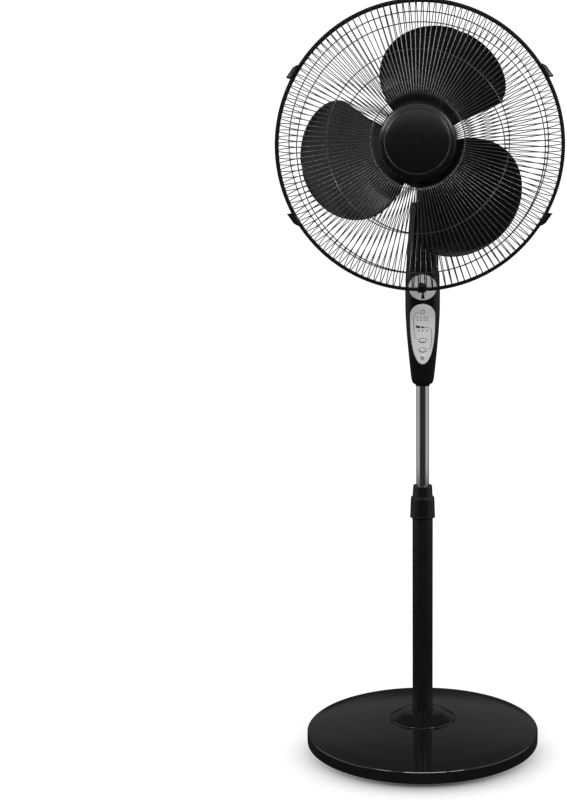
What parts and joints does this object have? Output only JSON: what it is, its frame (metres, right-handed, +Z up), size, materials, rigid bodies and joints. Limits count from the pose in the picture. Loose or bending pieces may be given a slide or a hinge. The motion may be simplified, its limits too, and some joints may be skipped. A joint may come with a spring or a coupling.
{
  "type": "pedestal fan",
  "caption": "Pedestal fan: round weighted base, telescopic pole, tapered control housing, tilting and swinging head with a wire guard round a petal-bladed rotor.",
  "frame": {"origin": "floor level under the middle of the round base, on the pole's axis", "axes": "+Z up along the pole; the fan blows towards -Y; +X is to the right of a person facing the fan"},
  "size_m": [0.447, 0.395, 1.2281],
  "materials": {
    "gloss_black": "gloss",
    "satin_black": "satin",
    "pole_paint": "gloss",
    "wire_black": "gloss",
    "chrome": "polished",
    "silver": "satin metallic paint",
    "steel": "satin",
    "iron": "rough",
    "alloy": "satin",
    "copper": "satin",
    "bronze": "satin",
    "rubber": "matte",
    "board_green": "satin",
    "nylon_white": "satin"
  },
  "bodies": {
    "stand": {"base_cover": "gloss_black", "base_weight": "iron", "foot_1": "rubber", "foot_2": "rubber", "foot_3": "rubber", "foot_4": "rubber", "boss_trim": "gloss_black", "pole_foot": "steel", "anchor_bolt": "steel", "outer_pole": "pole_paint", "collet": "satin_black"},
    "lock_nut": {"lock_nut": "satin_black"},
    "column": {"inner_tube": "chrome", "tube_bush": "nylon_white", "neck_bracket": "alloy", "housing_front": "satin_black", "housing_rear": "satin_black", "control_panel": "silver", "front_disc": "silver", "circuit_board": "board_green", "cord_inlet": "rubber", "housing_screw": "steel"},
    "speed_button": {"speed_button": "silver"},
    "mode_button": {"mode_button": "silver"},
    "power_button": {"power_button": "silver"},
    "neck": {"neck_shell": "satin_black", "neck_cap": "satin_black", "swivel_bush": "nylon_white", "tilt_bolt": "steel", "tilt_nut": "steel", "swing_motor": "steel"},
    "swing_pinion": {"swing_pinion": "nylon_white"},
    "head": {"swivel_spindle": "steel", "spindle_gear": "nylon_white", "swivel_bracket": "alloy", "front_bell": "alloy", "rear_bell": "alloy", "stator_core": "steel", "front_winding": "copper", "rear_winding": "copper", "front_bearing": "bronze", "rear_bearing": "bronze", "motor_front_cover": "satin_black", "motor_cover": "gloss_black", "capacitor": "satin_black", "guard_nut": "satin_black", "badge_cap": "satin_black", "rear_grille": "wire_black", "front_grille": "wire_black", "rim_lock": "satin_black", "rim_lock_screw": "steel"},
    "rim_clip_1": {"rim_clip_1": "satin_black"},
    "rim_clip_2": {"rim_clip_2": "satin_black"},
    "rim_clip_3": {"rim_clip_3": "satin_black"},
    "rim_clip_4": {"rim_clip_4": "satin_black"},
    "rotor": {"rotor_shaft": "steel", "rotor_core": "steel", "drive_pin": "steel", "fan_blade": "gloss_black", "blade_nut": "satin_black"}
  },
  "joints": [
    {"name": "height_slide", "type": "slide", "parent": "stand", "child": "column", "axis": [0, 0, 1], "range_m": [-0.16, 0.1]},
    {"name": "lock_nut_turn", "type": "hinge", "parent": "stand", "child": "lock_nut", "pos_m": [0, 0, 0.408], "axis": [0, 0, 1], "range_deg": [0, 180]},
    {"name": "speed_button_press", "type": "slide", "parent": "column", "child": "speed_button", "axis": [0, 1, 0], "range_m": [0, 0.001], "stiffness_N_per_m": 500},
    {"name": "mode_button_press", "type": "slide", "parent": "column", "child": "mode_button", "axis": [0, 1, 0], "range_m": [0, 0.001], "stiffness_N_per_m": 500},
    {"name": "power_button_press", "type": "slide", "parent": "column", "child": "power_button", "axis": [0, 1, 0], "range_m": [0, 0.001], "stiffness_N_per_m": 500},
    {"name": "neck_tilt", "type": "hinge", "parent": "column", "child": "neck", "pos_m": [0, 0, 0.833], "axis": [-1, 0, 0], "range_deg": [-10, 15]},
    {"name": "head_swing", "type": "hinge", "parent": "neck", "child": "head", "pos_m": [0, 0, 0.833], "axis": [0, 0.0872, 0.9962], "range_deg": [-40, 45]},
    {"name": "swing_pinion_spin", "type": "hinge", "parent": "neck", "child": "swing_pinion", "pos_m": [0, 0.01729, 0.89121], "axis": [0, 0.0872, 0.9962], "range_deg": [-92, 92]},
    {"name": "rotor_spin", "type": "hinge", "parent": "head", "child": "rotor", "pos_m": [0, 0.01417, 0.99498], "axis": [0.0436, 0.9952, -0.0871], "continuous": true},
    {"name": "rim_clip_1_turn", "type": "hinge", "parent": "head", "child": "rim_clip_1", "pos_m": [0.18788, -0.09597, 1.11644], "axis": [-0.4995, 0.0972, 0.8608], "range_deg": [0, 60]},
    {"name": "rim_clip_2_turn", "type": "hinge", "parent": "head", "child": "rim_clip_2", "pos_m": [-0.19765, -0.0792, 1.11498], "axis": [-0.4995, -0.0538, -0.8646], "range_deg": [0, 60]},
    {"name": "rim_clip_3_turn", "type": "hinge", "parent": "head", "child": "rim_clip_3", "pos_m": [-0.19765, -0.09862, 0.89302], "axis": [0.4995, -0.0972, -0.8608], "range_deg": [0, 60]},
    {"name": "rim_clip_4_turn", "type": "hinge", "parent": "head", "child": "rim_clip_4", "pos_m": [0.18788, -0.11539, 0.89449], "axis": [0.4995, 0.0538, 0.8646], "range_deg": [0, 60]}
  ],
  "couplings": [
    {"joint": "swing_pinion_spin", "follows": "head_swing", "ratio": -2}
  ]
}
